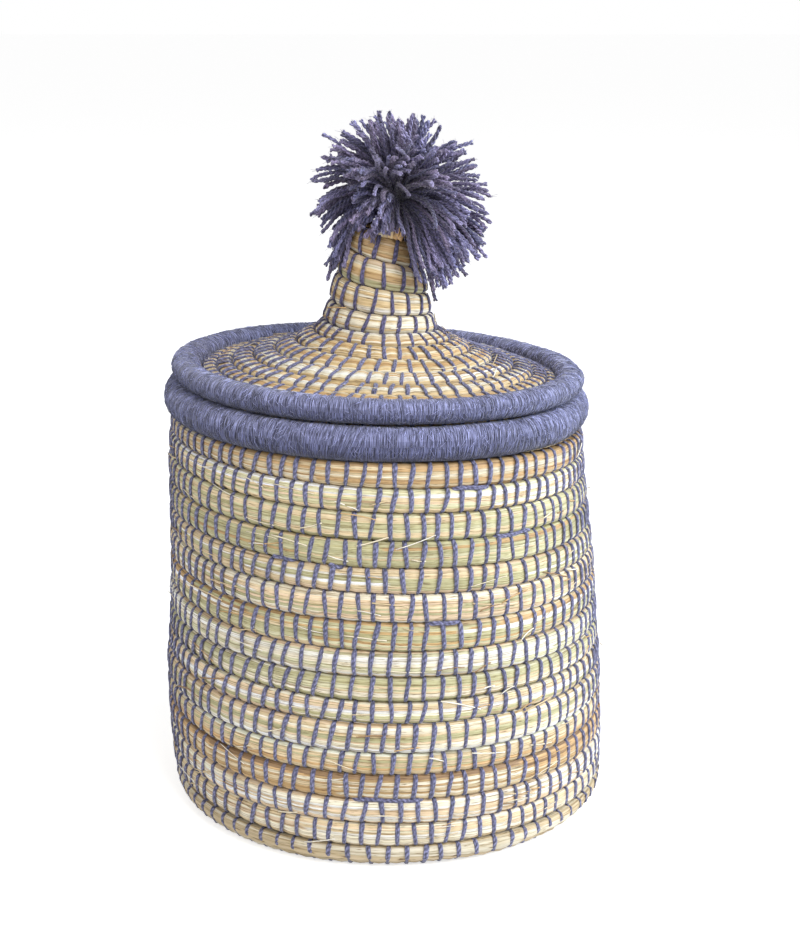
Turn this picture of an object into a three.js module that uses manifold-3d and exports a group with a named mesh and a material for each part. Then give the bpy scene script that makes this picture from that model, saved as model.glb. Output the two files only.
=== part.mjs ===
// A lidded basket of straw coils, sewn with blue yarn, with two wrapped rims, a spired lid and a pompom.
// Millimetres, +Z up. The origin is on the table, on the basket's axis, and the front faces -Y.

import * as THREE from 'three';
import * as BufferGeometryUtils from 'three/addons/utils/BufferGeometryUtils.js';
import Module from 'manifold-3d';

// Straw coil of the basket
const coursePitch = 11;
const coilThickness = 10;
const courseGap = 0.6;
const soleShare = 0.1;
const thinnestTip = 1.4;
const flatShare = 0.5;

// Basket
const footRadius = 100;
const footWallInset = 0.2;
const wallTurns = 15;
const wallStartAngle = -80;
const bellyRadius = 101;
const bellyHeight = 48;
const mouthRadius = 93;
const rimOverhang = 1.7;
const rimWidth = 12.5;
const rimHeight = 14.2;
const rimCorner = 5;

// Straw coil of the lid
const lidPitch = 9;
const lidThickness = 8;

// Lid
const lidRimInset = 3.3;
const lidRimWidth = 12;
const lidRimHeight = 10.2;
const lidRimCorner = 4;
const coneSink = 0.8;
const coneEdgeLean = 0.5;
const coneRise = 8.3;
const coneMiddleRadius = 46;
const kneeRadius = 25.5;
const kneeRise = 23.5;
const spireFootRadius = 17.5;
const spireFootRise = 41.5;
const spireTopRadius = 9.9;
const spireRise = 66.5;
const lipDepth = 11;
const lipWidth = 8;
const lipCorner = 3;
const lipClearance = 1.6;

// Yarn wrapped round the rims, and the slit between its two edges
const wrapThickness = 1.3;
const wrapSlit = 2;

// Pompom
const pompomRadius = 41;
const pompomDroop = 0.95;
const pompomOffset = 8;
const pompomCentreRise = 10;
const tuftDepth = 3.2;
const spireClearance = 1;
const spireShare = 0.4;
const tuftsAround = 13;
const tuftsDown = 7;
const tailRadius = 3;
const tailSocketDepth = 9;
const tailBelowKnot = 6;
const knotRadius = 6.6;
const knotHeight = 9;
const knotDrop = 6;
const tieHeight = 6;
const tieRadius = 9;
const crownLift = 1.4;

// Clearances and facets
const touchGap = 0.3;
const stepsPerLoop = 20;
const lidStepsPerLoop = 17;
const rimSegments = 28;
const smallSegments = 16;
const turn = 2 * Math.PI;

// Heights that follow from the sizes above
const baseTop = coilThickness * (1 - soleShare);
const wallFoot = baseTop + touchGap;
const rimSeat = wallFoot + wallTurns * coursePitch;
const rimFoot = rimSeat + touchGap;
const rimTop = rimFoot + rimHeight;
const lidFoot = rimTop + touchGap;
const rimRadius = mouthRadius + rimOverhang;
const rimInnerRadius = rimRadius - rimWidth;
const lidRimRadius = rimRadius - lidRimInset;
const coneRoom = (lidRimRadius - lidRimWidth) * Math.cos(turn / 2 / rimSegments);
const coneRadius = coneRoom - touchGap - coneEdgeLean;
const coneFoot = lidFoot + lidThickness / 2 - coneSink;
const spireTop = coneFoot + spireRise;

const straw = { color: 0xc4a878, roughness: 0.75, metalness: 0 };
const lidStraw = { color: 0xd2b780, roughness: 0.72, metalness: 0 };
const yarn = { color: 0x656a94, roughness: 0.92, metalness: 0 };
const darkYarn = { color: 0x504c6e, roughness: 0.95, metalness: 0 };

const wasm = await Module();
wasm.setup();

const group = new THREE.Group();

function addPiece(name, geometry, looks) {
	const mesh = new THREE.Mesh(geometry, new THREE.MeshStandardMaterial(looks));
	mesh.name = name;
	group.add(mesh);
}

// Whole solids for cuts

function toSolid(geometry) {
	const bare = geometry.clone();
	bare.deleteAttribute('normal');
	bare.deleteAttribute('uv');
	const merged = BufferGeometryUtils.mergeVertices(bare, 1e-4);
	const vertProperties = new Float32Array(merged.attributes.position.array);
	const triVerts = new Uint32Array(merged.index.array);
	return new wasm.Manifold(new wasm.Mesh({ numProp: 3, vertProperties, triVerts }));
}

function toGeometry(solid) {
	const mesh = solid.getMesh();
	const geometry = new THREE.BufferGeometry();
	geometry.setAttribute('position', new THREE.BufferAttribute(new Float32Array(mesh.vertProperties), 3));
	geometry.setIndex(new THREE.BufferAttribute(new Uint32Array(mesh.triVerts), 1));
	geometry.computeVertexNormals();
	return geometry;
}

function cut(geometry, ...tools) {
	let solid = toSolid(geometry);
	for (const tool of tools) {
		solid = solid.subtract(toSolid(tool));
	}
	return toGeometry(solid);
}

// Lathe rings and turned pieces, whose outlines are lists of [radius, height]

function turned(outline, segments) {
	const points = outline.map(([r, z]) => new THREE.Vector2(r, z));
	return new THREE.LatheGeometry(points, segments).rotateX(Math.PI / 2);
}

function roundedBox(r, z, width, height, corner, arcSteps) {
	const shape = new THREE.Path();
	const right = r + width / 2 - corner;
	const left = r - width / 2 + corner;
	const top = z + height / 2 - corner;
	const bottom = z - height / 2 + corner;
	shape.absarc(right, bottom, corner, -turn / 4, 0);
	shape.absarc(right, top, corner, 0, turn / 4);
	shape.absarc(left, top, corner, turn / 4, turn / 2);
	shape.absarc(left, bottom, corner, turn / 2, 3 * turn / 4);
	return shape.getPoints(arcSteps).map((point) => [point.x, point.y]);
}

function closed(outline) {
	return [...outline, outline[0]];
}

// A straw coil lies on a meridian, a curve of radius and height. Each loop lies against the loop before it,
// between the meridian's two ends, so that its first and last loops are wedges. A section has a flat edge
// against each neighbouring loop and a ridge on each face, and a sole cuts the ridge that it stands on.

function coilSections({ meridian, pitch, thickness, steps, winding, start = 0, sole = 0 }) {
	const length = meridian.getLength();
	const tip = (thinnestTip + courseGap) / pitch;
	const count = Math.floor((length / pitch + 1 - 2 * tip) * steps);
	const sections = [];
	for (let step = 0; step <= count; step++) {
		const loop = tip + step / steps;
		const lower = Math.max(0, (loop - 1) * pitch) + courseGap / 2;
		const upper = Math.min(length, loop * pitch) - courseGap / 2;
		const share = Math.min(1, (upper - lower) / (pitch - courseGap));
		const ridge = thickness * Math.sqrt(share) / 2;
		const flat = ridge * flatShare;
		const middle = (lower + upper) / 2;
		const rest = (upper - lower) * sole * ridge / (ridge - flat);
		const stand = ridge * (1 - 2 * sole);
		const face = sole > 0 ? [[middle + rest, stand], [middle - rest, stand]] : [[middle, ridge]];
		const top = [[upper, -flat], [upper, flat]];
		const bottom = [[lower, flat], [lower, -flat]];
		const corners = [...top, ...face, ...bottom, [middle, -ridge]];
		const angle = start + winding * turn * loop;
		sections.push(corners.map(([along, out]) => pointBeside(meridian, along / length, out, angle)));
	}
	return sections;
}

function pointBeside(meridian, place, out, angle) {
	const point = meridian.getPointAt(place);
	const tangent = meridian.getTangentAt(place);
	const r = point.x + tangent.y * out;
	return new THREE.Vector3(r * Math.cos(angle), r * Math.sin(angle), point.y - tangent.x * out);
}

function leastGap(rings, steps) {
	const points = [];
	rings.forEach((ring, step) => {
		ring.forEach((point, corner) => {
			points.push({ step, point });
			if (step + 1 < rings.length) {
				const middle = point.clone().lerp(rings[step + 1][corner], 0.5);
				points.push({ step: step + 0.5, point: middle });
			}
		});
	});
	let least = Infinity;
	for (const one of points) {
		for (const other of points) {
			if (other.step - one.step > steps / 2) {
				least = Math.min(least, one.point.distanceToSquared(other.point));
			}
		}
	}
	return Math.sqrt(least);
}

function coil(name, rings, { steps, winding }) {
	const sides = rings[0].length;
	const index = [];
	const quad = (a, b, c, d) => index.push(a, b, c, a, c, d);
	for (let step = 0; step + 1 < rings.length; step++) {
		for (let corner = 0; corner < sides; corner++) {
			const here = step * sides;
			const next = (corner + 1) % sides;
			quad(here + corner, here + next, here + sides + next, here + sides + corner);
		}
	}
	const lastRing = (rings.length - 1) * sides;
	for (let corner = 1; corner + 1 < sides; corner++) {
		index.push(0, corner + 1, corner);
		index.push(lastRing, lastRing + corner, lastRing + corner + 1);
	}
	if (winding < 0) {
		index.reverse();
	}
	const geometry = new THREE.BufferGeometry();
	const flat = rings.flat().flatMap((point) => point.toArray());
	geometry.setAttribute('position', new THREE.BufferAttribute(new Float32Array(flat), 3));
	geometry.setIndex(index);
	geometry.computeVertexNormals();
	console.log(`${name}: least gap between loops ${leastGap(rings, steps).toFixed(2)} mm`);
	return geometry;
}

// Base: a flat spiral, with a sole where it stands

function baseCoil() {
	const middle = baseTop - coilThickness / 2;
	const options = {
		meridian: new THREE.LineCurve(new THREE.Vector2(0, middle), new THREE.Vector2(footRadius, middle)),
		pitch: coursePitch,
		thickness: coilThickness,
		steps: stepsPerLoop,
		winding: -1,
		sole: soleShare,
	};
	return coil('base_coil', coilSections(options), options);
}

// Wall: the coil climbs from the base to the rim, over the belly

function wallCoil() {
	const inside = coilThickness / 2;
	const meridian = new THREE.SplineCurve([
		new THREE.Vector2(footRadius - footWallInset - inside, wallFoot),
		new THREE.Vector2(bellyRadius - inside, bellyHeight),
		new THREE.Vector2((bellyRadius + mouthRadius) / 2 - inside, (bellyHeight + rimSeat) / 2),
		new THREE.Vector2(mouthRadius - inside, rimSeat),
	]);
	const options = {
		meridian,
		pitch: meridian.getLength() / wallTurns,
		thickness: coilThickness,
		steps: stepsPerLoop,
		winding: -1,
		start: THREE.MathUtils.degToRad(wallStartAngle),
	};
	return coil('wall_coil', coilSections(options), options);
}

// Rims: a straw core inside a layer of wrapped yarn, which is open along the seam that is sewn

function rimCore(outerRadius, foot, width, height, corner) {
	const inset = 2 * (wrapThickness + touchGap);
	const r = outerRadius - width / 2;
	const z = foot + height / 2;
	const outline = roundedBox(r, z, width - inset, height - inset, corner - inset / 2, 1);
	return turned(closed(outline), rimSegments);
}

function rimWrap(outerRadius, foot, width, height, corner) {
	const r = outerRadius - width / 2;
	const z = foot + height / 2;
	const inner = 2 * wrapThickness;
	const slit = wrapSlit / 2;
	const outside = roundedBox(r, z, width, height, corner, 2);
	const inside = roundedBox(r, z, width - inner, height - inner, corner - wrapThickness, 1);
	const outline = [
		[r + slit, foot],
		...outside,
		[r - slit, foot],
		[r - slit, foot + wrapThickness],
		...inside.reverse(),
		[r + slit, foot + wrapThickness],
	];
	return turned(closed(outline), rimSegments);
}

// Lid coil: a hollow spire that opens into a shallow cone

const lidMeridian = new THREE.SplineCurve([
	new THREE.Vector2(spireTopRadius, spireTop),
	new THREE.Vector2(spireFootRadius, coneFoot + spireFootRise),
	new THREE.Vector2(kneeRadius, coneFoot + kneeRise),
	new THREE.Vector2(coneMiddleRadius, coneFoot + coneRise),
	new THREE.Vector2(coneRadius, coneFoot),
]);
const lidOptions = {
	meridian: lidMeridian,
	pitch: lidPitch,
	thickness: lidThickness,
	steps: lidStepsPerLoop,
	winding: 1,
};
const lidRings = coilSections(lidOptions);
const lidHeights = lidRings.flat().map((point) => point.z);
const lipTop = Math.min(...lidHeights) - touchGap;
const tieFoot = Math.max(...lidHeights) + touchGap;
const tieTop = tieFoot + tieHeight;

// Lip: the coil under the lid that keeps it centred in the mouth

function lidLip() {
	const r = rimInnerRadius - lipClearance - lipWidth / 2;
	const z = lipTop - lipDepth / 2;
	return turned(closed(roundedBox(r, z, lipWidth, lipDepth, lipCorner, 1)), rimSegments);
}

// Pompom: a drooping ball of cut yarn, bound in its middle by the tie. Its crown stands up round the tie, and
// its skirt hangs below the crown, round the spire.

function pompomBall() {
	const ball = new THREE.SphereGeometry(pompomRadius, 2 * tuftsAround, 2 * tuftsDown);
	const position = ball.attributes.position;
	const point = new THREE.Vector3();
	for (let i = 0; i < position.count; i++) {
		point.fromBufferAttribute(position, i);
		const around = Math.atan2(point.z, point.x);
		const down = Math.acos(THREE.MathUtils.clamp(point.y / pompomRadius, -1, 1));
		const tuft = Math.cos(tuftsAround * around) * Math.cos(2 * tuftsDown * down) * Math.sin(down);
		point.multiplyScalar(1 + tuftDepth * (tuft - 1) / 2 / pompomRadius);
		position.setXYZ(i, point.x, point.y * pompomDroop, point.z);
	}
	ball.rotateX(Math.PI / 2);
	ball.translate(pompomOffset, 0, spireTop + pompomCentreRise);
	return ball;
}

const crownFoot = tieFoot + crownLift;
const pompomLow = spireTop - pompomRadius;

function halfSpace(z) {
	const size = 4 * pompomRadius;
	return new THREE.BoxGeometry(size, size, size).translate(pompomOffset, 0, z);
}

function pompomCrown() {
	const below = halfSpace(crownFoot - 2 * pompomRadius);
	const collarRadius = tieRadius + touchGap;
	const collarTop = tieTop + touchGap;
	const socketRadius = tailRadius + touchGap;
	const socketTop = collarTop + tailSocketDepth;
	const socket = turned([
		[0, pompomLow],
		[collarRadius, pompomLow],
		[collarRadius, collarTop],
		[socketRadius, collarTop],
		[socketRadius, socketTop],
		[0, socketTop],
	], smallSegments);
	return cut(pompomBall(), below, socket);
}

function pompomSkirt() {
	const above = halfSpace(crownFoot - touchGap + 2 * pompomRadius);
	const spread = lidThickness / 2 + spireClearance;
	const foot = lidMeridian.getPoint(spireShare);
	const top = crownFoot + touchGap;
	const spire = turned([
		[0, pompomLow],
		[foot.x + spread, pompomLow],
		[foot.x + spread, foot.y],
		[spireTopRadius + spread, spireTop],
		[spireTopRadius + spread, top],
		[0, top],
	], smallSegments);
	return cut(pompomBall(), above, spire);
}

// Tie: the turns of yarn that bind the pompom's strands, above the spire

function pompomTie() {
	const inner = tailRadius + touchGap;
	const outline = [[inner, tieFoot], [tieRadius, tieFoot], [tieRadius, tieTop], [inner, tieTop]];
	return turned(closed(outline), smallSegments);
}

// Tail: the cord that runs from the pompom through the hollow spire to a knot inside it

const knotTop = spireTop - knotDrop;
const knotFoot = knotTop - knotHeight;

function pompomTail() {
	const foot = knotFoot - tailBelowKnot;
	const top = tieTop + tailSocketDepth;
	return turned([[0, foot], [tailRadius, foot], [tailRadius, top], [0, top]], smallSegments);
}

function anchorKnot() {
	const inner = tailRadius + touchGap;
	return turned(closed([
		[inner, knotFoot],
		[knotRadius - knotHeight / 4, knotFoot],
		[knotRadius, (knotFoot + knotTop) / 2],
		[knotRadius - knotHeight / 4, knotTop],
		[inner, knotTop],
	]), smallSegments);
}

addPiece('base_coil', baseCoil(), straw);
addPiece('wall_coil', wallCoil(), straw);
addPiece('rim_core', rimCore(rimRadius, rimFoot, rimWidth, rimHeight, rimCorner), straw);
addPiece('rim_wrap', rimWrap(rimRadius, rimFoot, rimWidth, rimHeight, rimCorner), yarn);
addPiece('lid_coil', coil('lid_coil', lidRings, lidOptions), lidStraw);
addPiece('lid_rim_core', rimCore(lidRimRadius, lidFoot, lidRimWidth, lidRimHeight, lidRimCorner), lidStraw);
addPiece('lid_rim_wrap', rimWrap(lidRimRadius, lidFoot, lidRimWidth, lidRimHeight, lidRimCorner), yarn);
addPiece('lid_lip', lidLip(), lidStraw);
addPiece('pompom_crown', pompomCrown(), darkYarn);
addPiece('pompom_skirt', pompomSkirt(), darkYarn);
addPiece('pompom_tie', pompomTie(), darkYarn);
addPiece('pompom_tail', pompomTail(), darkYarn);
addPiece('anchor_knot', anchorKnot(), darkYarn);

export default group;
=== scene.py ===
"""Looks of a lidded straw basket: coiled straw, yarn stitches, wrapped rims and a pompom.

Lengths are in millimetres, until Soup.build makes a mesh in metres.
"""
import math

import bpy
import numpy as np
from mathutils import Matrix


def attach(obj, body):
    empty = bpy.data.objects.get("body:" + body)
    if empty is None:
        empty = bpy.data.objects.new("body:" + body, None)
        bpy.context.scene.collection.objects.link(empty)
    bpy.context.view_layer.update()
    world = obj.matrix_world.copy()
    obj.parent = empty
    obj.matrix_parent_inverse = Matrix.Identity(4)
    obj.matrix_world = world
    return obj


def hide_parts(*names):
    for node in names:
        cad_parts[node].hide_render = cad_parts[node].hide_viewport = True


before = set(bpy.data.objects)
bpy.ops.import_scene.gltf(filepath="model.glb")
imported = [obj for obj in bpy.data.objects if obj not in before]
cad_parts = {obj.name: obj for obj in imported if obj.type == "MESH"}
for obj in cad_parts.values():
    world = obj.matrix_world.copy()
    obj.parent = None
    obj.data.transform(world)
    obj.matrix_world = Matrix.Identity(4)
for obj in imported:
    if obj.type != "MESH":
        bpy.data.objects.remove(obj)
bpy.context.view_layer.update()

MM = 0.001
TURN = 2 * math.pi
FRONT = -TURN / 4
scene = bpy.context.scene


def new_object(name, data):
    made = bpy.data.objects.new(name, data)
    scene.collection.objects.link(made)
    return made


# Camera, at the photograph's place

LENS = 62.13
SENSOR_HEIGHT = 36
CAMERA_PLACE = (0.0068, -0.722, 0.3426)
CAMERA_DOWN = 15.37

camera_data = bpy.data.cameras.new("camera")
camera_data.sensor_fit = "VERTICAL"
camera_data.sensor_height = SENSOR_HEIGHT
camera_data.lens = LENS
camera = new_object("camera", camera_data)
camera.location = CAMERA_PLACE
camera.rotation_euler = (math.radians(90 - CAMERA_DOWN), 0, 0)
scene.camera = camera
scene.view_settings.view_transform = "Standard"


# Numbers that look random, and are the same in each run

HASH_STEP = 12.9898
HASH_SEED_STEP = 78.233
HASH_SCALE = 43758.5453


def hashed(n, seed):
    """Numbers in 0 to 1 that depend only on the whole numbers n and the seed."""
    mixed = np.sin(np.asarray(n, float) * HASH_STEP + seed * HASH_SEED_STEP) * HASH_SCALE
    return mixed - np.floor(mixed)


def signed(n, seed):
    """The same, in -1 to 1."""
    return 2 * hashed(n, seed) - 1


def wander(x, seed):
    """A smooth random curve between -1 and 1 that changes over about 1 of x."""
    x = np.asarray(x, float)
    whole = np.floor(x)
    part = x - whole
    ease = part * part * (3 - 2 * part)
    low = hashed(whole, seed)
    return 2 * (low + (hashed(whole + 1, seed) - low) * ease) - 1


def unit(vectors):
    return vectors / np.maximum(np.linalg.norm(vectors, axis=-1, keepdims=True), 1e-9)


def polar(radius, angle, height):
    """Points so far from the axis, at an angle round it and at a height."""
    return np.stack(np.broadcast_arrays(radius * np.cos(angle), radius * np.sin(angle), height), -1)


def linear(red, green, blue):
    """A display colour of 0 to 255 as the linear colour that a shader takes."""
    share = np.array([red, green, blue], float) / 255
    return np.where(share <= 0.04045, share / 12.92, ((share + 0.055) / 1.055) ** 2.4)


# The basket leans a little to the left as it rises, and both rims sit lower on the right

LEAN_HEIGHTS = [0, 15, 40, 60, 107, 125, 150, 178, 192, 215, 232, 258]
LEAN_SHIFTS = [2.0, 0.9, -0.3, -0.7, -1.0, -2.0, -3.4, -3.8, -2.8, -2.9, -1.8, -0.5]
RIM_TILT = math.tan(math.radians(1.8))
BACK_TILT = 0.55
TILT_REACH = 90
TILT_HEIGHT = 175
SPIRE_TILT = 0.14
SPIRE_TILT_HEIGHTS = [220, 250]
SPIRE_REACH = 20
TABLE = 0.1


def warped(points):
    """The points of a straight basket, moved to where the leaning one has them, above the table."""
    x, y, z = points[..., 0], points[..., 1], points[..., 2]
    lift = np.clip(z / TILT_HEIGHT, 0, 1)
    shift = np.interp(z, LEAN_HEIGHTS, LEAN_SHIFTS)
    tilt = RIM_TILT * (1 + BACK_TILT * (y + TILT_REACH) / (2 * TILT_REACH))
    spire_tilt = np.interp(z, SPIRE_TILT_HEIGHTS, [0, SPIRE_TILT])
    sink = tilt * x * lift + spire_tilt * np.clip(x, -SPIRE_REACH, SPIRE_REACH)
    return np.stack([x + shift, y, np.maximum(z - sink, TABLE)], -1)


# Meshes

class Soup:
    """Tubes of rings of points, collected as one mesh with a tint and a texture place for each corner."""

    def __init__(self):
        self.points = []
        self.corners = []
        self.sizes = []
        self.tints = []
        self.places = []
        self.count = 0

    def add(self, points, tint, along, across=None, closed=False):
        """Takes N tubes of R rings of S points, with a tint for each point and how far along each ring is."""
        tubes, rings, sides, _ = points.shape
        tint = np.broadcast_to(tint, (tubes, rings, sides, 3))
        along = np.broadcast_to(along, (tubes, rings))
        across = np.arange(sides + 1) / sides if across is None else across
        index = self.count + np.arange(tubes * rings * sides).reshape(tubes, rings, sides)
        beside = np.roll(index, -1, 2)
        if closed:
            follow = np.roll(np.arange(rings), -1)
            steps = np.arange(rings)
        else:
            follow = np.arange(1, rings)
            steps = np.arange(rings - 1)
        quads = np.stack([index[:, steps], beside[:, steps], beside[:, follow], index[:, follow]], -1)
        shades = np.stack([tint[:, steps], tint[:, steps], tint[:, follow], tint[:, follow]], 3)
        here = along[:, steps, None]
        there = here + (along[:, 1:2, None] - along[:, :1, None]) if closed else along[:, follow, None]
        left, right = across[:-1], across[1:]
        spots = [(here, left), (here, right), (there, right), (there, left)]
        spread = np.stack([np.stack(np.broadcast_arrays(u, v), -1) for u, v in spots], 3)
        inward = self.inward(points[:, steps], np.roll(points, -1, 2)[:, steps], points[:, follow])
        for flip in (False, True):
            chosen = inward == flip
            if chosen.any():
                order = slice(None, None, -1) if flip else slice(None)
                self.corners.append(quads[chosen][..., order].ravel())
                self.tints.append(shades[chosen][..., order, :].reshape(-1, 3))
                self.places.append(spread[chosen][..., order, :].reshape(-1, 2))
                self.sizes.append(np.full(quads[chosen].size // 4, 4))
                if not closed:
                    self.cap(index[chosen], tint[chosen], along[chosen], 0, not flip)
                    self.cap(index[chosen], tint[chosen], along[chosen], -1, flip)
        self.points.append(points.reshape(-1, 3))
        self.count += tubes * rings * sides

    def inward(self, here, beside, ahead):
        """Whether each tube's faces would point inwards, from their first three corners."""
        normal = np.cross(beside - here, ahead - here)
        return np.einsum("trsk,trsk->t", here - here.mean((1, 2), keepdims=True), normal) < 0

    def cap(self, index, tint, along, ring, backwards):
        """Closes one end of open tubes."""
        order = slice(None, None, -1) if backwards else slice(None)
        sides = index.shape[2]
        self.corners.append(index[:, ring, order].ravel())
        self.tints.append(tint[:, ring, order].reshape(-1, 3))
        place = np.stack(np.broadcast_arrays(along[:, ring, None], np.arange(sides) / sides), -1)
        self.places.append(place.reshape(-1, 2))
        self.sizes.append(np.full(len(index), sides))

    def build(self, name, body, slot, material, *replaced):
        """Makes the mesh, in metres, and puts it on its body."""
        points = warped(np.concatenate(self.points)) * MM
        corners = np.concatenate(self.corners)
        sizes = np.concatenate(self.sizes)
        tints = np.concatenate(self.tints)
        mesh = bpy.data.meshes.new(name)
        mesh.vertices.add(len(points))
        mesh.vertices.foreach_set("co", points.ravel())
        mesh.loops.add(len(corners))
        mesh.loops.foreach_set("vertex_index", corners.astype(np.int32))
        mesh.polygons.add(len(sizes))
        starts = np.concatenate([[0], np.cumsum(sizes)[:-1]])
        mesh.polygons.foreach_set("loop_start", starts.astype(np.int32))
        mesh.polygons.foreach_set("use_smooth", np.ones(len(sizes), bool))
        mesh.uv_layers.new(name="UVMap").data.foreach_set("uv", np.concatenate(self.places).ravel())
        colours = np.concatenate([tints, np.ones((len(tints), 1))], 1)
        layer = mesh.color_attributes.new(name="tint", type="FLOAT_COLOR", domain="CORNER")
        layer.data.foreach_set("color", colours.ravel())
        mesh.update(calc_edges=True)
        mesh.materials.append(material)
        piece = new_object(name, mesh)
        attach(piece, body)
        if replaced:
            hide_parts(*replaced)


def tubes(path, away, width, height, sides, spin=0, lobes=0):
    """Rings of points round N paths of R points. Each ring's height is towards away."""
    tangent = unit(np.gradient(path, axis=1))
    side = unit(np.cross(tangent, away))
    rise = np.cross(side, tangent)
    corner = TURN * np.arange(sides) / sides
    shape = 1 + lobes * np.cos(2 * corner)
    angle = corner + np.asarray(spin)[..., None]
    wide = np.asarray(width)[..., None] * shape * np.cos(angle)
    high = np.asarray(height)[..., None] * shape * np.sin(angle)
    return path[:, :, None] + wide[..., None] * side[:, :, None] + high[..., None] * rise[:, :, None]


def lengths(path):
    """How far along each path its points are."""
    steps = np.linalg.norm(np.diff(path, axis=1), axis=2)
    return np.concatenate([np.zeros((len(path), 1)), np.cumsum(steps, 1)], 1)


# Materials. Each ramp is a list of places in the texture and the shades there.

STEM_STREAKS = [
    (0.3, (0.5, 0.42, 0.33)),
    (0.42, (0.88, 0.85, 0.8)),
    (0.53, (1, 1, 1)),
    (0.7, (1.14, 1.14, 1.22)),
]
STEM_FLECKS = [
    (0.27, (0.3, 0.22, 0.15)),
    (0.36, (0.86, 0.82, 0.76)),
    (0.46, (1, 1, 1)),
    (0.7, (1.08, 1.08, 1.14)),
]
STREAK_SCALE = (0.022, 1.9)
FLECK_SCALE = (0.16, 3.4)
STRAW_BUMP = 0.0003

YARN_FIBRES = [
    (0.36, (0.5, 0.48, 0.54)),
    (0.5, (1, 1, 1)),
    (0.64, (1.6, 1.6, 1.52)),
]
PLY_SIDE = (0.6, (1, 1, 1))
PLY_PAINTED_HIGHLIGHT = (1, (1.2, 1.2, 1.18))
PLY_LENGTH = 2.2
PLY_WAVE = {"Scale": TURN / 10, "Distortion": 2.2, "Detail": 3, "Detail Scale": 1.6}
FIBRE_SCALE = (0.7, 9)

# Thread tone, with painted shade in the gaps between threads and painted highlights on the brightest streaks
THREAD_FIBRES_AND_PAINTED_LIGHT = [
    (0.38, (0.2, 0.19, 0.24)),
    (0.5, (0.78, 0.78, 0.8)),
    (0.64, (2.0, 2.0, 1.92)),
]
THREAD_SCALE = (3.9, 1.5)
YARN_BUMP = 0.0004


def new_material(name, roughness, sheen=0):
    material = bpy.data.materials.new(name)
    material.use_nodes = True
    nodes, links = material.node_tree.nodes, material.node_tree.links
    principled = nodes["Principled BSDF"]
    principled.inputs["Roughness"].default_value = roughness
    principled.inputs["Sheen Weight"].default_value = sheen
    return material, nodes, links, principled


def multiplied(nodes, links, first, second):
    """One colour times another."""
    mix = nodes.new("ShaderNodeMix")
    mix.data_type = "RGBA"
    mix.blend_type = "MULTIPLY"
    mix.inputs["Factor"].default_value = 1
    links.new(first, mix.inputs["A"])
    links.new(second, mix.inputs["B"])
    return mix.outputs["Result"]


def dressed(nodes, links, principled, shade, height, distance):
    """The mesh's own tint times a shade as the base colour, and a height as its bump."""
    tint = nodes.new("ShaderNodeVertexColor")
    tint.layer_name = "tint"
    links.new(multiplied(nodes, links, tint.outputs["Color"], shade), principled.inputs["Base Color"])
    bump = nodes.new("ShaderNodeBump")
    bump.inputs["Distance"].default_value = distance
    links.new(height, bump.inputs["Height"])
    links.new(bump.outputs["Normal"], principled.inputs["Normal"])


def placed(nodes, links, scale):
    """Texture places: millimetres along the piece and shares across it, each times its scale."""
    place = nodes.new("ShaderNodeTexCoord")
    mapping = nodes.new("ShaderNodeMapping")
    mapping.inputs["Scale"].default_value = (*scale, 1)
    links.new(place.outputs["UV"], mapping.inputs["Vector"])
    return mapping.outputs["Vector"]


def streaks(nodes, links, scale, detail):
    """Noise that the scale stretches along the piece."""
    noise = nodes.new("ShaderNodeTexNoise")
    noise.noise_dimensions = "2D"
    noise.inputs["Scale"].default_value = 1
    noise.inputs["Detail"].default_value = detail
    links.new(placed(nodes, links, scale), noise.inputs["Vector"])
    return noise.outputs["Fac"]


def ramped(nodes, links, value, stops):
    ramp = nodes.new("ShaderNodeValToRGB")
    ramp.color_ramp.elements[0].position = stops[0][0]
    ramp.color_ramp.elements[1].position = stops[-1][0]
    for place, _ in stops[1:-1]:
        ramp.color_ramp.elements.new(place)
    for element, (_, colour) in zip(ramp.color_ramp.elements, stops):
        element.color = (*colour, 1)
    links.new(value, ramp.inputs["Fac"])
    return ramp.outputs["Color"]


def straw_material(name, roughness):
    """Dry stems: fine streaks along each straw, short dark flecks and a satin skin."""
    material, nodes, links, principled = new_material(name, roughness)
    fibres = streaks(nodes, links, STREAK_SCALE, 5)
    long = ramped(nodes, links, fibres, STEM_STREAKS)
    flecks = streaks(nodes, links, FLECK_SCALE, 3)
    short = ramped(nodes, links, flecks, STEM_FLECKS)
    dressed(nodes, links, principled, multiplied(nodes, links, long, short), fibres, STRAW_BUMP)
    return material


def yarn_material(name, roughness, sheen, groove):
    """Spun yarn: slanting plies with painted shade in their grooves and a painted highlight on their crests,
    under fine fibres and a soft sheen.
    """
    material, nodes, links, principled = new_material(name, roughness, sheen)
    wave = nodes.new("ShaderNodeTexWave")
    wave.bands_direction = "DIAGONAL"
    for socket, value in PLY_WAVE.items():
        wave.inputs[socket].default_value = value
    links.new(placed(nodes, links, (1 / PLY_LENGTH, 2)), wave.inputs["Vector"])
    # Painted shade in the ply grooves, plain sides, and a painted highlight on the crests
    plies = [(0, (groove, groove, groove)), PLY_SIDE, PLY_PAINTED_HIGHLIGHT]
    twisted = ramped(nodes, links, wave.outputs["Fac"], plies)
    fibres = streaks(nodes, links, FIBRE_SCALE, 4)
    fine = ramped(nodes, links, fibres, YARN_FIBRES)
    dressed(nodes, links, principled, multiplied(nodes, links, twisted, fine), fibres, YARN_BUMP)
    return material


def thread_material(name, roughness, sheen):
    """Fine threads side by side, wound closely round a rim, with painted shade in the gaps between them and
    painted highlights on the brightest streaks.
    """
    material, nodes, links, principled = new_material(name, roughness, sheen)
    fibres = streaks(nodes, links, THREAD_SCALE, 4)
    dressed(nodes, links, principled, ramped(nodes, links, fibres, THREAD_FIBRES_AND_PAINTED_LIGHT), fibres, YARN_BUMP)
    return material


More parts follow.
